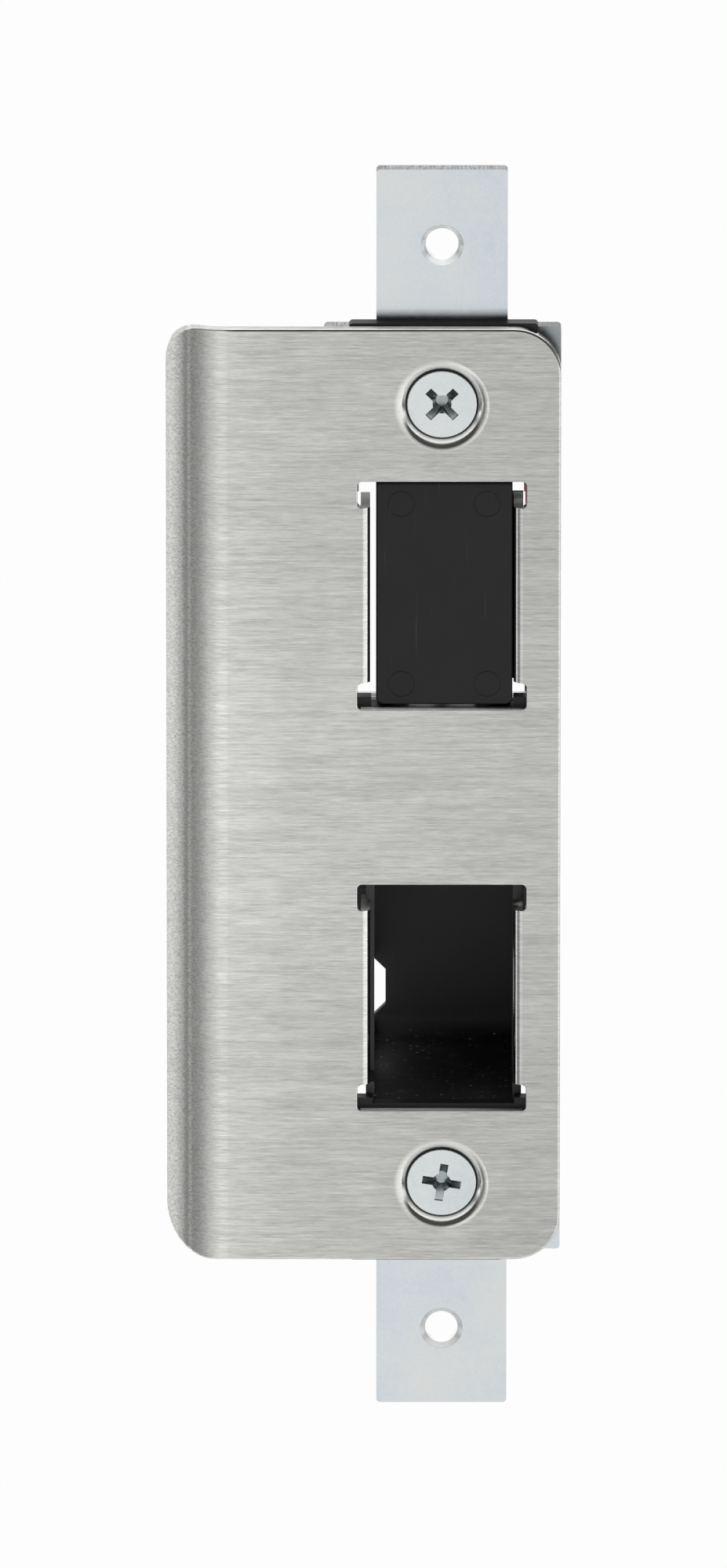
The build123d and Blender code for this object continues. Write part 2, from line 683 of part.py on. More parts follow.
def coil_wrap():
    y0 = YOKE_FRONT + YOKE_T + 1.3
    y1 = YOKE_BACK - YOKE_T - 1.3
    return rod_y(0, COIL_Z, 5.9, y0, y1) - rod_y(0, COIL_Z, 5.62, 0, 50)


def plunger():
    y0 = LINK_Y - 2.4
    body = rod_y(0, COIL_Z, PLUNGER_R, y0, 28.3)
    body = chamfer(body.edges().sort_by(Axis.Y)[0], 0.5)
    body += cone_y(0, COIL_Z, 1.9, 0.4, 28.3, 29.8)
    body -= block(-1.4, 1.4, y0 - 1, 19.9, -10, 10)
    return body - rod_x(LINK_Y, COIL_Z, PIN_R, -8, 8)


def cross_pin():
    return rod_x(LINK_Y, COIL_Z, PIN_R, -3.3, 3.3)


# ---- terminals ----------------------------------------------------------------------------

TERM_Z = 44.6 + SHEET


def terminal_block():
    """Two-way block on the cage's top plate, wires in from above, screws facing back."""
    z0 = TERM_Z + 0.05
    z1 = z0 + 10.0
    body = block(-2.5, 9.0, 13.0, 21.5, z0, z1)
    body = fillet(body.edges().filter_by(Axis.X).sort_by(Axis.Z)[-2:], 0.8)
    body += block(-7.6, -2.0, 16.0, 21.5, z0, z0 + 2.2)
    for x in (0.4, 6.1):
        body -= block(x - 1.9, x + 1.9, 14.8, 18.8, z0 + 1.5, z1 + 1)
        body -= rod_y(x, z0 + 5.5, 1.7, 18, 30)
    body -= rod_z(-5.0, 19.5, 1.35, 40, 60)
    body -= rod_y(6.1, z0 + 2.6, 0.62, 10, 15)
    body -= rod_y(0.4, z0 + 2.6, 0.62, 10, 15)
    return body


def terminal_clamp(x):
    z0 = TERM_Z + 1.8
    body = block(x - 1.7, x + 1.7, 15.0, 18.6, z0, z0 + 6.6)
    body -= rod_z(x, 16.4, 0.9, z0 + 2.6, z0 + 10)
    return body - rod_y(x, TERM_Z + 5.55, 1.05, 17.0, 20)


def terminal_screw(x):
    z = TERM_Z + 5.55
    screw = rod_y(x, z, 1.55, 19.0, 20.6) + rod_y(x, z, 1.0, 17.4, 19.0)
    return screw - Pos(x, 20.6, z) * Box(3.4, 1.2, 0.5)


def block_screw():
    """Fixes the terminal block to the cage's top plate."""
    z0 = TERM_Z + 0.05 + 2.2
    head = rod_z(-5.0, 19.5, 2.2, z0, z0 + 1.4)
    head = fillet(head.edges().sort_by(Axis.Z)[-1], 0.5)
    screw = head + rod_z(-5.0, 19.5, 1.25, z0 - 5.0, z0)
    return screw - Pos(-5.0, 19.5, z0 + 1.4) * (Box(2.6, 0.55, 1.4) + Box(0.55, 2.6, 1.4))


def coil_lead(y, x_term, lift):
    """From the bobbin's flange up beside the cheek and into the terminal block's front."""
    z_in = TERM_Z + 0.05 + 2.6
    points = [
        (YOKE_HALF_W + 0.1, 32.9, COIL_Z + lift),
        (11.3, 32.9, COIL_Z + lift),
        (11.3, 32.9, 12.0),
        (11.3, y, 30.0 - lift),
        (11.3, y, 49.5 + lift),
        (11.3, 10.2 - lift / 2, 49.5 + lift),
        (x_term, 10.2 - lift / 2, z_in),
        (x_term, 14.7, z_in),
    ]
    path = FilletPolyline(*points, radius=[1.4, 2.2, 3.0, 2.4, 2.4, 1.8])
    section = Plane(origin=path @ 0, z_dir=path % 0) * Circle(0.5)
    return sweep(section, path=path)


# ---- build --------------------------------------------------------------------------------

os.makedirs("parts", exist_ok=True)

save(strike_plate(), "strike_plate")
group([strike_screw(SCREW_Z, 45), strike_screw(-SCREW_Z, 9)], "strike_screws")
save(front_frame(), "front_frame")
save(mounting_bracket(), "mounting_bracket")
save(dust_box(), "dust_box")
group([pan_screw(x, z, 3.5, 3.4) for x, z in BOX_SCREWS], "box_screws")

save(cage(), "cage")
group([rivet(x, z) for x, z in RIVETS], "cage_rivets")
save(spring_bridge(), "spring_bridge")
group([bridge_screw(s, z) for s in (-1, 1) for z in (33.6, 38.6)], "bridge_screws")
group([guide_rod(x) for x in (-ROD_X, ROD_X)], "guide_rods")
group([rod_nut(x) for x in (-ROD_X, ROD_X)], "rod_nuts")
group([spring_seat(x) for x in (-ROD_X, ROD_X)], "spring_seats")
save(shoe_spring(-ROD_X), "shoe_spring_left")
save(shoe_spring(ROD_X), "shoe_spring_right")

save(shoe(), "shoe")
save(thrust_pad(), "thrust_pad")

save(rocker(), "rocker")
group([rocker_bush(s) for s in (-1, 1)], "rocker_bushes")
group([nose_roller(s) for s in (-1, 1)], "nose_rollers")
save(nose_pin(), "nose_pin")
save(pivot_pin(), "pivot_pin")
group([pivot_clip(s) for s in (-1, 1)], "pivot_clips")

save(yoke(), "solenoid_yoke")
group([yoke_screw(x, y) for x, y in YOKE_SCREWS], "yoke_screws")
save(pole_piece(), "pole_piece")
save(brass_sleeve(), "brass_sleeve")
save(bobbin(), "coil_bobbin")
save(winding(), "coil_winding")
save(coil_wrap(), "coil_wrap")
save(plunger(), "plunger")
save(cross_pin(), "cross_pin")

save(terminal_block(), "terminal_block")
group([terminal_clamp(x) for x in (0.4, 6.1)], "terminal_clamps")
group([terminal_screw(x) for x in (0.4, 6.1)], "terminal_screws")
save(block_screw(), "block_screw")
group([coil_lead(24.6, 6.1, 0.0), coil_lead(22.9, 0.4, 1.6)], "coil_leads")

print(f"rocker swing {2 * LEAN:.3f} deg, link pin y {LINK_Y:.3f}, pad back {PAD_BACK:.3f}")
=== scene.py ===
"""Looks for the electric door strike: materials, detailed pieces, light and camera."""
import math

import bmesh
import bpy
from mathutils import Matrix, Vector

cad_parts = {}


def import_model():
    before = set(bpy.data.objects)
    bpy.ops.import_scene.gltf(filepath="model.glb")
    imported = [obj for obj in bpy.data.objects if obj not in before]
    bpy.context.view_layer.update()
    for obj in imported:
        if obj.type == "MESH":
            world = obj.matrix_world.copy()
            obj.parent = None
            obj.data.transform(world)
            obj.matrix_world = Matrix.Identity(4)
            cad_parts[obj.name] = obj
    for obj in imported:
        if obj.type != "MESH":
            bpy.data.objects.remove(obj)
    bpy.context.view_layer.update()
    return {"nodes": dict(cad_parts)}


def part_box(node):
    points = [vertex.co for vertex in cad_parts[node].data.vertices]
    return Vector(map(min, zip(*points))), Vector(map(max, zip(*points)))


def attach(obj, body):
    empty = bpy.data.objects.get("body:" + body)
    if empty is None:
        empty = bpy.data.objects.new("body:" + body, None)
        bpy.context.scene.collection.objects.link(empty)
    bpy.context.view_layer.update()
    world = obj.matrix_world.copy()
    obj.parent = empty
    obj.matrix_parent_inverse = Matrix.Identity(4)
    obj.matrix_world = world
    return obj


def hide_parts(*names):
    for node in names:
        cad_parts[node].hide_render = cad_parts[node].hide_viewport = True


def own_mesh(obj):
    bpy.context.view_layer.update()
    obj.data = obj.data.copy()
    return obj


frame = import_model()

MM = 0.001
NODES = frame["nodes"]


# ---- node helpers -------------------------------------------------------------------------

class Mat:
    """A material and short ways to add nodes to it."""

    def __init__(self, name):
        self.mat = bpy.data.materials.new(name)
        self.mat.use_nodes = True
        self.tree = self.mat.node_tree
        self.bsdf = self.tree.nodes["Principled BSDF"]
        self.coord = self.tree.nodes.new("ShaderNodeTexCoord")

    def new(self, kind, **values):
        node = self.tree.nodes.new(kind)
        for key, value in values.items():
            setattr(node, key, value)
        return node

    def link(self, a, b):
        self.tree.links.new(a, b)

    def set(self, **values):
        for key, value in values.items():
            self.bsdf.inputs[key.replace("_", " ")].default_value = value

    def mapped(self, scale=(1, 1, 1)):
        node = self.new("ShaderNodeMapping")
        node.inputs["Scale"].default_value = scale
        self.link(self.coord.outputs["Object"], node.inputs["Vector"])
        return node.outputs["Vector"]

    def axes(self, kind="Object"):
        """The three parts of the place on the object, or of its surface normal."""
        node = self.new("ShaderNodeSeparateXYZ")
        self.link(self.coord.outputs[kind], node.inputs[0])
        return node.outputs["X"], node.outputs["Y"], node.outputs["Z"]

    def near(self, value, centre, half, soft):
        """One within half of the centre, falling to nothing over soft."""
        away = self.size(self.calc(value, -centre))
        return self.spread(away, half, half + soft, 1.0, 0.0)

    def axis_radius(self, height):
        """The distance from the nearer of the two Y axes at this height above and below."""
        x, _, z = self.axes()
        off = self.calc(self.size(z), -height)
        return self.calc(self.calc(self.times(x, x), self.times(off, off)), 0.5, "POWER")

    def noise(self, vector, scale, detail=4.0, rough=0.6):
        node = self.new("ShaderNodeTexNoise")
        node.inputs["Scale"].default_value = scale
        node.inputs["Detail"].default_value = detail
        node.inputs["Roughness"].default_value = rough
        self.link(vector, node.inputs["Vector"])
        return node.outputs["Fac"]

    def spread(self, value, low, high, out_low, out_high):
        node = self.new("ShaderNodeMapRange")
        node.inputs["From Min"].default_value = low
        node.inputs["From Max"].default_value = high
        node.inputs["To Min"].default_value = out_low
        node.inputs["To Max"].default_value = out_high
        self.link(value, node.inputs["Value"])
        return node.outputs["Result"]

    def mix(self, fac, a, b):
        node = self.new("ShaderNodeMix", data_type="RGBA")
        if isinstance(fac, float):
            node.inputs[0].default_value = fac
        else:
            self.link(fac, node.inputs[0])
        for socket, value in ((node.inputs[6], a), (node.inputs[7], b)):
            if isinstance(value, tuple):
                socket.default_value = (*value, 1.0)
            else:
                self.link(value, socket)
        return node.outputs[2]

    def calc(self, a, b, op="ADD"):
        node = self.new("ShaderNodeMath", operation=op)
        for socket, value in ((node.inputs[0], a), (node.inputs[1], b)):
            if isinstance(value, (int, float)):
                socket.default_value = value
            else:
                self.link(value, socket)
        return node.outputs[0]

    def times(self, a, b):
        return self.calc(a, b, "MULTIPLY")

    def size(self, value):
        """The number without its sign."""
        return self.calc(value, 0.0, "ABSOLUTE")

    def scaled(self, colour, by):
        """The colour times a number."""
        node = self.new("ShaderNodeVectorMath", operation="SCALE")
        self.link(colour, node.inputs[0])
        self.link(by, node.inputs["Scale"])
        return node.outputs[0]

    def bump(self, height, distance, strength=1.0):
        node = self.new("ShaderNodeBump")
        node.inputs["Strength"].default_value = strength
        node.inputs["Distance"].default_value = distance
        self.link(height, node.inputs["Height"])
        self.link(node.outputs["Normal"], self.bsdf.inputs["Normal"])

    def color(self, socket):
        self.link(socket, self.bsdf.inputs["Base Color"])

    def rough(self, socket):
        self.link(socket, self.bsdf.inputs["Roughness"])


# ---- materials ----------------------------------------------------------------------------

# Places on the object, in metres.
SCREW_HEIGHT = 0.0525
HEAD_GAP_R = 0.00475
DIMPLE_R = 0.0060
TAB_HOLE_HEIGHT = 0.0731
TAB_HOLE_R = 0.0026
FLAT_FROM = -0.0275
LIP_FROM = -0.0282
BEND_LINE = -0.0324
PLATE_EDGE = 0.0560
RECESS_DEPTH = -0.00228
TAB_FROM = 0.0630

STROKE_RANGE = (0.85, 1.5)
DARK_STROKE = 0.76
BRIGHT_STROKE = 1.24
DARK_GRAIN = 0.55
BRIGHT_GRAIN = 1.45
EDGE_SHADE_BLACK = (0.03, 0.03, 0.03)
GAP_SHADE_BLACK = (0.06, 0.06, 0.06)
GLINT = (0.95, 0.95, 0.94)


def lit(tone, by):
    return tuple(min(1, c * by) for c in tone)


def painted_sheen(m, x, away):
    """Painted light on the plate: brighter towards the lip, and painted shade a little darker above
    and below.
    """
    slow = m.spread(x, 0.012, -0.022, 0.0, 0.37)
    quick = m.spread(x, -0.020, FLAT_FROM, 0.0, 0.63)
    rise = m.times(m.calc(slow, quick), m.spread(x, -0.0312, -0.0300, 0.0, 0.19))
    return m.times(m.calc(rise, 1.0), m.spread(away, 0.012, 0.035, 1.0, 0.925))


def painted_edge_shade(m, x, up, away, in_dimple):
    """Painted shade where the plate's face turns into its top edge, right of the lip."""
    turning = m.times(m.near(up, 0.35, 0.22, 0.08),
                      m.spread(away, PLATE_EDGE, PLATE_EDGE + 0.0005, 0.0, 0.8))
    turning = m.times(turning, m.spread(x, LIP_FROM, LIP_FROM + 0.0017, 0.0, 1.0))
    return m.times(turning, m.calc(1.0, in_dimple, "SUBTRACT"))


def brushed_steel(name, tone, base_rough=0.33, aniso=0.88):
    """Stainless sheet brushed along X, grainy on the curved lip and smooth in the dimples."""
    m = Mat(name)
    x, _, z = m.axes()
    _, facing, up = m.axes("Normal")
    away = m.size(z)

    hair = m.noise(m.mapped((480, 3000, 9000)), 1, 3, 0.7)
    stroke = m.noise(m.mapped((170, 2500, 4800)), 1, 3, 0.7)
    broad = m.noise(m.mapped((70, 100, 420)), 1, 3, 0.6)
    strokes = m.calc(m.calc(hair, stroke), m.times(broad, 0.35))
    sheet = m.mix(m.spread(strokes, *STROKE_RANGE, 0.0, 1.0), lit(tone, DARK_STROKE),
                  lit(tone, BRIGHT_STROKE))
    # The brushed sheet's colour is scaled by the painted light and shade.
    sheet = m.scaled(sheet, painted_sheen(m, x, away))

    sparkle = m.noise(m.mapped((2600, 2600, 5200)), 1, 2, 0.7)
    grain = m.spread(sparkle, 0.3, 0.7, 0.0, 1.0)
    lip = m.mix(grain, lit(tone, DARK_GRAIN), lit(tone, BRIGHT_GRAIN))
    colour = m.mix(m.spread(x, LIP_FROM, LIP_FROM - 0.004, 0.0, 0.6), sheet, lip)
    # A painted highlight along the bend line, and just beside it a painted dark line of shade.
    line = m.times(m.near(x, BEND_LINE, 0.00008, 0.00022), grain)
    colour = m.mix(m.times(line, 0.9), colour, GLINT)
    shade = m.times(m.near(x, BEND_LINE - 0.0005, 0.0001, 0.0003), 0.22)
    colour = m.mix(shade, colour, (0.2, 0.2, 0.2))

    from_screw = m.axis_radius(SCREW_HEIGHT)
    # Painted shade in the narrow gap between the screw head and the dimple wall.
    painted_gap_shade = m.spread(from_screw, HEAD_GAP_R - 0.0001, HEAD_GAP_R + 0.0002, 0.75, 0.0)
    in_dimple = m.spread(from_screw, DIMPLE_R, DIMPLE_R + 0.0002, 1.0, 0.0)
    colour = m.mix(m.times(in_dimple, 0.5), colour, tone)
    # Painted shade along the plate's top edge.
    colour = m.mix(painted_edge_shade(m, x, up, away, in_dimple), colour, EDGE_SHADE_BLACK)
    m.color(m.mix(painted_gap_shade, colour, GAP_SHADE_BLACK))

    on_flat = m.spread(x, LIP_FROM, FLAT_FROM, 0.0, 1.0)
    rounded = m.times(m.spread(m.size(facing), 0.955, 0.99, 1.0, 0.0), on_flat)
    sheared = m.times(m.spread(m.size(up), 0.93, 0.98, 0.0, 1.0), on_flat)
    smooth = m.calc(m.times(m.calc(rounded, in_dimple, "MAXIMUM"), 0.23), m.times(in_dimple, 0.04))
    rough = m.spread(strokes, *STROKE_RANGE, base_rough + 0.05, base_rough - 0.05)
    m.rough(m.calc(m.calc(rough, smooth, "SUBTRACT"), m.times(sheared, 0.45)))
    m.set(Metallic=1.0, Anisotropic=aniso, Anisotropic_Rotation=0.25)
    tangent = m.new("ShaderNodeTangent", direction_type="RADIAL", axis="Z")
    m.link(tangent.outputs[0], m.bsdf.inputs["Tangent"])
    m.bump(hair, 0.00001, 0.35)
    return m.mat


def bracket_marks_and_shade(m, colour, cloud):
    """Dull sheared edges, bright tab holes, painted shade and reflection of the black frame on the
    top tab just above it, and a painted shadow on the sheet's top right corner, where the frame
    lies on the sheet.
    """
    _, facing, _ = m.axes("Normal")
    x, _, z = m.axes()
    edge = m.spread(m.size(facing), 0.5, 0.8, 1.0, 0.0)
    hole = m.spread(m.axis_radius(TAB_HOLE_HEIGHT), TAB_HOLE_R, TAB_HOLE_R + 0.0002, 1.0, 0.0)
    colour = m.mix(m.times(edge, hole), colour, (0.97, 0.96, 0.94))
    streak = m.noise(m.mapped((5000, 500, 5000)), 1, 2, 0.6)
    sheared = m.mix(m.spread(streak, 0.35, 0.65, 0.0, 1.0), (0.10, 0.10, 0.105), (0.42, 0.43, 0.44))
    edge = m.times(edge, m.calc(1.0, hole, "SUBTRACT"))
    colour = m.mix(m.times(edge, 0.9), colour, sheared)
    # Painted shade and reflection of the black frame on the top tab, just above the frame, with a
    # ragged edge.
    ragged = m.calc(z, m.times(cloud, 0.0006))
    painted_root_shade = m.spread(ragged, TAB_FROM + 0.0006, TAB_FROM + 0.0020, 0.8, 0.0)
    painted_root_shade = m.times(painted_root_shade, m.spread(z, TAB_FROM, TAB_FROM + 0.0001, 0.0, 1.0))
    colour = m.mix(painted_root_shade, colour, (0.03, 0.03, 0.032))
    # Painted shadow of the plate and the frame on the sheet's top right corner.
    film = m.times(m.spread(x, 0.0112, 0.0120, 0.0, 0.6), m.spread(z, 0.0535, 0.0550, 0.0, 1.0))
    film = m.times(film, m.spread(z, TAB_FROM - 0.0002, TAB_FROM + 0.0001, 1.0, 0.0))
    return m.mix(film, colour, (0.10, 0.105, 0.10))


def plated(name, tone, tint, base_rough=0.3, grain=900, depth=0.000008, bracket=False, recess=None):
    """Zinc or nickel plating: fine spangle under a cloudy, faintly tinted film.

    With recess, what is deeper than that Y is darker: painted shade in the recess.
    """
    m = Mat(name)
    cloud = m.noise(m.mapped(), 70, 3, 0.55)
    fine = m.noise(m.mapped(), grain, 3, 0.6)
    spangle = m.noise(m.mapped(), 2600, 2, 0.6)
    film = m.mix(m.spread(cloud, 0.38, 0.62, 0.0, 1.0), tone, tint)
    spots = m.spread(m.calc(fine, spangle), 0.75, 1.25, 0.0, 0.14)
    colour = m.mix(spots, film, (0.98, 0.98, 0.97))
    if bracket:
        colour = bracket_marks_and_shade(m, colour, cloud)
    if recess is not None:
        _, y, _ = m.axes()
        # Painted shade in the recess, darker with depth.
        recess_shade = m.spread(y, recess, recess + 0.0006, 0.0, 0.55)
        colour = m.mix(recess_shade, colour, (0.16, 0.20, 0.20))
    m.color(colour)
    m.rough(m.spread(m.calc(cloud, fine), 0.6, 1.4, base_rough - 0.08, base_rough + 0.1))
    m.set(Metallic=1.0)
    m.bump(fine, depth, 0.6)
    return m.mat


def dusty_and_shaded(m, colour, dust):
    """Painted shade that darkens what faces up, and a faint pale film and specks of dust on it."""
    _, _, up = m.axes("Normal")
    cell = m.new("ShaderNodeTexVoronoi")
    cell.inputs["Scale"].default_value = 1300
    m.link(m.mapped(), cell.inputs["Vector"])
    chance = m.new("ShaderNodeSeparateColor")
    m.link(cell.outputs["Color"], chance.inputs[0])
    speck = m.times(m.spread(cell.outputs["Distance"], 0.10, 0.26, 1.0, 0.0),
                    m.spread(chance.outputs[0], 0.62, 0.95, 0.0, 1.0))
    film = m.spread(m.noise(m.mapped(), 420, 4, 0.75), 0.52, 0.75, 0.0, 0.08)
    lying = m.spread(up, 0.5, 0.9, 0.06, 1.0)
    amount = m.times(m.times(m.calc(speck, film), lying), dust)
    # Painted shade: what faces up is darkened towards black.
    colour = m.mix(m.spread(up, 0.3, 0.9, 0.0, 0.75), colour, (0.004, 0.004, 0.004))
    return m.mix(amount, colour, (0.5, 0.49, 0.46))


def scratched(m, colour, amount):
    """Fine pale scratches along Z, in patches."""
    lines = m.noise(m.mapped((5200, 300, 60)), 1, 2, 0.5)
    patch = m.noise(m.mapped((1, 1, 0.5)), 170, 2, 0.5)
    marks = m.times(m.spread(lines, 0.66, 0.72, 0.0, 1.0), m.spread(patch, 0.5, 0.62, 0.0, 1.0))
    return m.mix(m.times(marks, amount), colour, (0.11, 0.11, 0.11))


def moulded(name, tone, base_rough=0.48, grain=2200, depth=0.00001, dust=0.0, scratch=0.0):
    """Moulded plastic with a spark-eroded grain."""
    m = Mat(name)
    fine = m.noise(m.mapped(), grain, 2, 0.5)
    cloud = m.noise(m.mapped(), 120, 3, 0.6)
    colour = m.mix(cloud, tuple(c * 0.8 for c in tone), tuple(c * 1.25 + 0.001 for c in tone))
    if dust:
        colour = dusty_and_shaded(m, colour, dust)
    if scratch:
        colour = scratched(m, colour, scratch)
    m.color(colour)
    m.set(Specular_IOR_Level=0.3)
    m.rough(m.spread(cloud, 0.3, 0.7, base_rough - 0.05, base_rough + 0.08))
    m.bump(fine, depth, 0.5)
    return m.mat


def turned(name, tone, base_rough=0.22):
    """Turned or ground metal with fine marks."""
    m = Mat(name)
    marks = m.noise(m.mapped(), 1500, 4, 0.7)
    cloud = m.noise(m.mapped(), 200, 3, 0.6)
    m.color(m.mix(cloud, tuple(c * 0.85 for c in tone), tone))
    m.rough(m.spread(m.calc(marks, cloud), 0.6, 1.4, base_rough - 0.06, base_rough + 0.1))
    m.set(Metallic=1.0)
    m.bump(marks, 0.000006, 0.5)
    return m.mat


def wire_wound(name, tone, low):
    """Enamelled wire laid turn by turn along Y."""
    m = Mat(name)
    wave = m.new("ShaderNodeTexWave", wave_type="BANDS", bands_direction="Y")
    wave.inputs["Scale"].default_value = 900
    wave.inputs["Distortion"].default_value = 0.4
    m.link(m.mapped(), wave.inputs["Vector"])
    m.color(m.mix(wave.outputs["Fac"], low, tone))
    m.set(Metallic=0.9, Roughness=0.28, Coat_Weight=0.6, Coat_Roughness=0.15)
    m.bump(wave.outputs["Fac"], 0.00008, 0.7)
    return m.mat


def wrap_tape(name, tone):
    """Glossy tape with a slightly uneven surface."""
    m = Mat(name)
    cloud = m.noise(m.mapped(), 160, 3, 0.5)
    m.color(m.mix(cloud, tuple(c * 0.8 for c in tone), tone))
    m.rough(m.spread(cloud, 0.3, 0.7, 0.18, 0.3))
    m.set(Coat_Weight=0.4, Coat_Roughness=0.1)
    m.bump(cloud, 0.00003, 0.4)
    return m.mat


STEEL = brushed_steel("brushed_stainless", (0.60, 0.60, 0.58))
ZINC = plated("zinc_plated_sheet", (0.60, 0.66, 0.70), (0.71, 0.72, 0.70))
ZINC_RIM = plated("zinc_plated_bracket", (0.58, 0.64, 0.69), (0.67, 0.69, 0.69), bracket=True)
ZINC_BRIGHT = plated("zinc_plated_screw", (0.64, 0.69, 0.73), (0.72, 0.74, 0.75), 0.24)
HEAD = plated("zinc_plated_strike_screw", (0.60, 0.65, 0.67), (0.66, 0.69, 0.69), 0.24,
              recess=RECESS_DEPTH)
PIN = turned("ground_steel", (0.62, 0.62, 0.63))
SPRING = turned("spring_steel_wire", (0.5, 0.5, 0.51), 0.25)
BRONZE = turned("sintered_bronze", (0.55, 0.36, 0.17), 0.42)
BRASS = turned("drawn_brass", (0.78, 0.58, 0.25), 0.25)
CAST = plated("zinc_die_casting", (0.42, 0.43, 0.44), (0.5, 0.5, 0.51), 0.5, 500, 0.00002)
YOKE = plated("soft_iron_plated", (0.56, 0.58, 0.6), (0.62, 0.62, 0.61), 0.34)
BLACK = moulded("black_moulded_frame", (0.012, 0.012, 0.0125), 0.42)
SHOE = moulded("black_moulded_shoe", (0.0095, 0.0095, 0.010), 0.5, 1800, 0.000012, scratch=0.3)
BOX = moulded("black_moulded_box", (0.057, 0.057, 0.0575), 0.55, 1500, 0.00002, dust=0.8)
NYLON = moulded("natural_nylon", (0.72, 0.70, 0.64), 0.4)
GREEN = moulded("terminal_green", (0.03, 0.2, 0.08), 0.35)
RED = moulded("lead_insulation_red", (0.5, 0.03, 0.025), 0.35)
COPPER = wire_wound("enamelled_copper", (0.75, 0.33, 0.14), (0.35, 0.12, 0.05))
TAPE = wrap_tape("coil_tape", (0.75, 0.48, 0.06))

FINISH = {
    "strike_plate": STEEL, "strike_screws": HEAD, "front_frame": BLACK,
    "mounting_bracket": ZINC_RIM, "dust_box": BOX, "box_screws": ZINC_BRIGHT, "cage": ZINC,
    "cage_rivets": PIN, "spring_bridge": ZINC, "bridge_screws": ZINC_BRIGHT,
    "guide_rods": PIN, "rod_nuts": ZINC_BRIGHT, "spring_seats": NYLON,
    "shoe_spring_left": SPRING, "shoe_spring_right": SPRING, "shoe": SHOE, "thrust_pad": PIN,
    "rocker": CAST, "rocker_bushes": BRONZE, "nose_rollers": PIN, "nose_pin": PIN,
    "pivot_pin": PIN, "pivot_clips": SPRING, "solenoid_yoke": YOKE, "yoke_screws": ZINC_BRIGHT,
    "pole_piece": PIN, "brass_sleeve": BRASS, "coil_bobbin": NYLON, "coil_winding": COPPER,
    "coil_wrap": TAPE, "plunger": PIN, "cross_pin": PIN, "terminal_block": GREEN,
    "terminal_clamps": BRASS, "terminal_screws": ZINC_BRIGHT, "block_screw": ZINC_BRIGHT,
    "coil_leads": RED,
}

for name, node in NODES.items():
    node.data.materials.clear()
    node.data.materials.append(FINISH[name])


# ---- detailed pieces ----------------------------------------------------------------------

def tube(name, line, radius, material, sides=12):
    """A round wire along a line of points, with flat ends."""
    bm = bmesh.new()
    rings = []
    for i, point in enumerate(line):
        along = (line[min(i + 1, len(line) - 1)] - line[max(i - 1, 0)]).normalized()
        across = along.cross(Vector((0, 1, 0))).normalized()
        upright = across.cross(along)
        ring = []
        for k in range(sides):
            turn = 2 * math.pi * k / sides
            out = across * math.cos(turn) + upright * math.sin(turn)
            ring.append(bm.verts.new(point + out * radius))
        rings.append(ring)
    for first, second in zip(rings, rings[1:]):
        for k in range(sides):
            n = (k + 1) % sides
            bm.faces.new((first[k], first[n], second[n], second[k]))
    bm.faces.new(list(reversed(rings[0])))
    bm.faces.new(rings[-1])
    bmesh.ops.recalc_face_normals(bm, faces=bm.faces)
    mesh = bpy.data.meshes.new(name)
    bm.to_mesh(mesh)
    bm.free()
    for face in mesh.polygons:
        face.use_smooth = len(face.vertices) == 4
    mesh.materials.append(material)
    obj = bpy.data.objects.new(name, mesh)
    bpy.context.scene.collection.objects.link(obj)
    return obj


SPRING_TURNS = 7.5
SPRING_WIRE = 0.3 * MM


def detailed_spring(node):
    """A compression spring with closed end turns, in the place of its CAD node."""
    low, high = (Vector(corner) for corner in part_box(node))
    centre = (low + high) / 2
    radius = (high.x - low.x) / 2 - SPRING_WIRE
    start = low.y + SPRING_WIRE
    length = high.y - low.y - 2 * SPRING_WIRE
    closed = 2 * SPRING_WIRE / length
    steps = int(SPRING_TURNS * 28)
    line = []
    for i in range(steps + 1):
        t = i / steps
        turn = 2 * math.pi * SPRING_TURNS * t
        end = 1 / SPRING_TURNS
        if t < end:
            rise = closed * t / end
        elif t > 1 - end:
            rise = 1 - closed * (1 - t) / end
        else:
            rise = closed + (1 - 2 * closed) * (t - end) / (1 - 2 * end)
        line.append(Vector((centre.x + radius * math.cos(turn), start + length * rise,
                            centre.z + radius * math.sin(turn))))
    piece = tube(node + "_wire", line, SPRING_WIRE, SPRING)
    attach(piece, "unit")
    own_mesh(piece)
    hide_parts(node)


for spring_node in ("shoe_spring_left", "shoe_spring_right"):
    detailed_spring(spring_node)


# ---- stage, light and camera --------------------------------------------------------------

WHITE = 0.972
FLOOR_WHITE = 0.960
PEAK = 1.5
MIRRORED_Z = -0.3
LEVEL_BAND = (0.25, 0.55)
# Brightness round the object at the height that its face mirrors, by bearing in degrees from
# straight in front towards -X, and overhead and below by elevation in degrees.
AROUND = [
    (-180, 0.9), (-150, 0.6), (-120, 0.5), (-90, 1.3), (-60, 1.4), (-30, 1.25), (-15, 0.95),
    (0, 0.87), (6, 1.0), (12, 1.10), (20, 0.98), (30, 0.72), (40, 0.42), (52, 0.30),
    (60, 0.30), (68, 0.62), (76, 1.0), (86, 1.5), (96, 1.0), (120, 0.60), (150, 0.8), (180, 0.9),
]
OVER = [
    (-180, 0.5), (-165, 0.9), (-140, 0.75), (-100, 0.30), (-85, 0.45), (-60, 1.2), (-38, 1.2),
    (-10, 0.9), (2, 0.5), (10, 0.10), (48, 0.10), (66, 1.3), (100, 1.4), (150, 1.2), (180, 0.9),
]


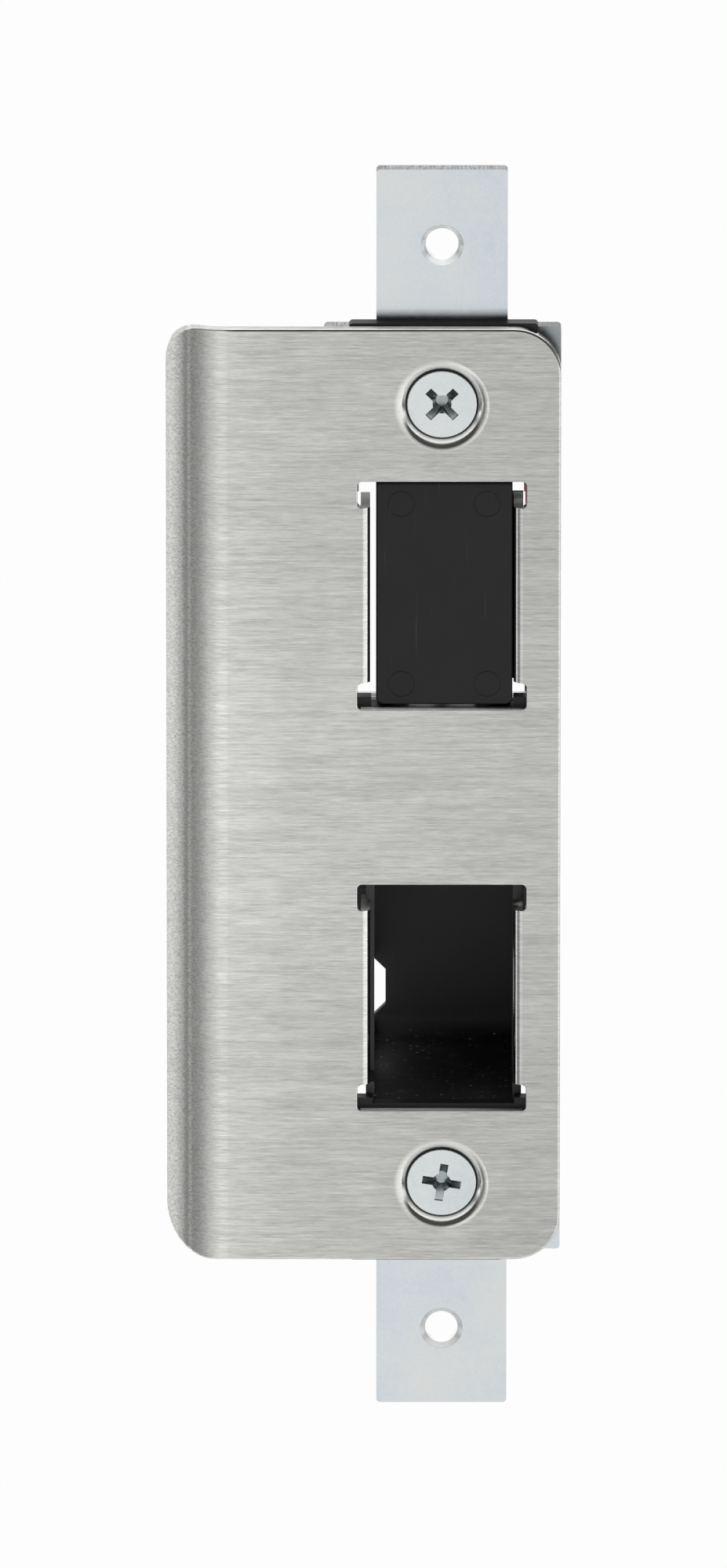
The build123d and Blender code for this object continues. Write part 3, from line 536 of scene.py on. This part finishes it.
def floor():
    """A wide pale floor below and behind the object."""
    mesh = bpy.data.meshes.new("floor")
    edge = [(-14, -0.25, 0), (14, -0.25, 0), (14, 14, 0), (-14, 14, 0)]
    mesh.from_pydata(edge, [], [(0, 1, 2, 3)])
    obj = bpy.data.objects.new("floor", mesh)
    obj.location = (0, 0, -0.6)
    bpy.context.scene.collection.objects.link(obj)
    m = Mat("pale_floor")
    cloud = m.noise(m.mapped(), 3, 2, 0.5)
    m.color(m.mix(cloud, (0.020, 0.020, 0.020), (0.022, 0.022, 0.022)))
    m.set(Roughness=1.0, Emission_Color=(1, 1, 1, 1), Emission_Strength=FLOOR_WHITE)
    m.set(Specular_IOR_Level=0.0)
    mesh.materials.append(m.mat)


def world():
    """A white studio, with softboxes and flags at the bearings that the lip mirrors."""
    w = bpy.data.worlds.new("studio")
    w.use_nodes = True
    tree = w.node_tree
    new = tree.nodes.new
    link = tree.links.new
    way = new("ShaderNodeTexCoord")
    split = new("ShaderNodeSeparateXYZ")
    link(way.outputs["Generated"], split.inputs[0])

    def maths(op, a, b=None):
        node = new("ShaderNodeMath")
        node.operation = op
        for socket, value in zip(node.inputs, (a, b)):
            if isinstance(value, (int, float)):
                socket.default_value = value
            elif value is not None:
                link(value, socket)
        return node.outputs[0]

    def ramp(angle, levels):
        node = new("ShaderNodeValToRGB")
        link(maths("ADD", maths("DIVIDE", angle, 2 * math.pi), 0.5), node.inputs[0])
        stops = node.color_ramp.elements
        while len(stops) > 1:
            stops.remove(stops[-1])
        for n, (degrees, value) in enumerate(levels):
            place = 0.5 + degrees / 360
            stop = stops[0] if n == 0 else stops.new(place)
            stop.position = place
            stop.color = (value / PEAK, value / PEAK, value / PEAK, 1)
        return node.outputs["Color"]

    x, y, z = (split.outputs[axis] for axis in "XYZ")
    front = maths("MULTIPLY", y, -1)
    bearing = maths("ARCTAN2", maths("MULTIPLY", x, -1), front)
    height = maths("ARCTAN2", z, front)
    # Within LEVEL_BAND of the mirrored height the walls count, and beyond it the ceiling and floor.
    level = new("ShaderNodeMapRange")
    level.inputs["From Min"].default_value = LEVEL_BAND[0]
    level.inputs["From Max"].default_value = LEVEL_BAND[1]
    off_level = maths("ABSOLUTE", maths("ADD", z, -MIRRORED_Z))
    link(off_level, level.inputs["Value"])
    blend = new("ShaderNodeMix")
    blend.data_type = "RGBA"
    link(level.outputs["Result"], blend.inputs[0])
    link(ramp(bearing, AROUND), blend.inputs[6])
    link(ramp(height, OVER), blend.inputs[7])
    light = new("ShaderNodeBackground")
    link(blend.outputs[2], light.inputs["Color"])
    light.inputs["Strength"].default_value = PEAK
    plain = new("ShaderNodeBackground")
    plain.inputs["Color"].default_value = (1, 1, 1, 1)
    plain.inputs["Strength"].default_value = WHITE
    path = new("ShaderNodeLightPath")
    both = new("ShaderNodeMixShader")
    link(path.outputs["Is Camera Ray"], both.inputs[0])
    link(light.outputs[0], both.inputs[1])
    link(plain.outputs[0], both.inputs[2])
    link(both.outputs[0], tree.nodes["World Output"].inputs["Surface"])
    bpy.context.scene.world = w


def panel(name, place, target, wide, high, power):
    """A rectangular light that looks at the target."""
    data = bpy.data.lights.new(name, "AREA")
    data.energy = power
    data.shape = "RECTANGLE"
    data.size = wide
    data.size_y = high
    obj = bpy.data.objects.new(name, data)
    obj.location = place
    way = Vector(target) - Vector(place)
    obj.rotation_mode = "QUATERNION"
    obj.rotation_quaternion = way.to_track_quat("-Z", "Y")
    bpy.context.scene.collection.objects.link(obj)


CAMERA_TILT = math.radians(17.8)
CAMERA_DISTANCE = 4.3
FRAMED_HEIGHT = 0.20141
FRAMED_POINT = Vector((-10.05, -3.0, 1.7)) * MM
SENSOR = 36


def camera():
    """A long lens a little above the object, framed on the plate."""
    data = bpy.data.cameras.new("camera")
    obj = bpy.data.objects.new("camera", data)
    back = Vector((0, -math.cos(CAMERA_TILT), math.sin(CAMERA_TILT)))
    obj.location = FRAMED_POINT + back * CAMERA_DISTANCE
    obj.rotation_mode = "QUATERNION"
    obj.rotation_quaternion = (-back).to_track_quat("-Z", "Y")
    data.sensor_width = SENSOR
    data.lens = SENSOR * CAMERA_DISTANCE / FRAMED_HEIGHT
    data.clip_start = 0.05
    data.clip_end = 100
    bpy.context.scene.collection.objects.link(obj)
    bpy.context.scene.camera = obj


floor()
world()
panel("near_panel", (-0.065, -0.35, -0.11), (-0.065, 0, 0), wide=0.10, high=0.26, power=0.016)
camera()
bpy.context.scene.view_settings.view_transform = "Standard"
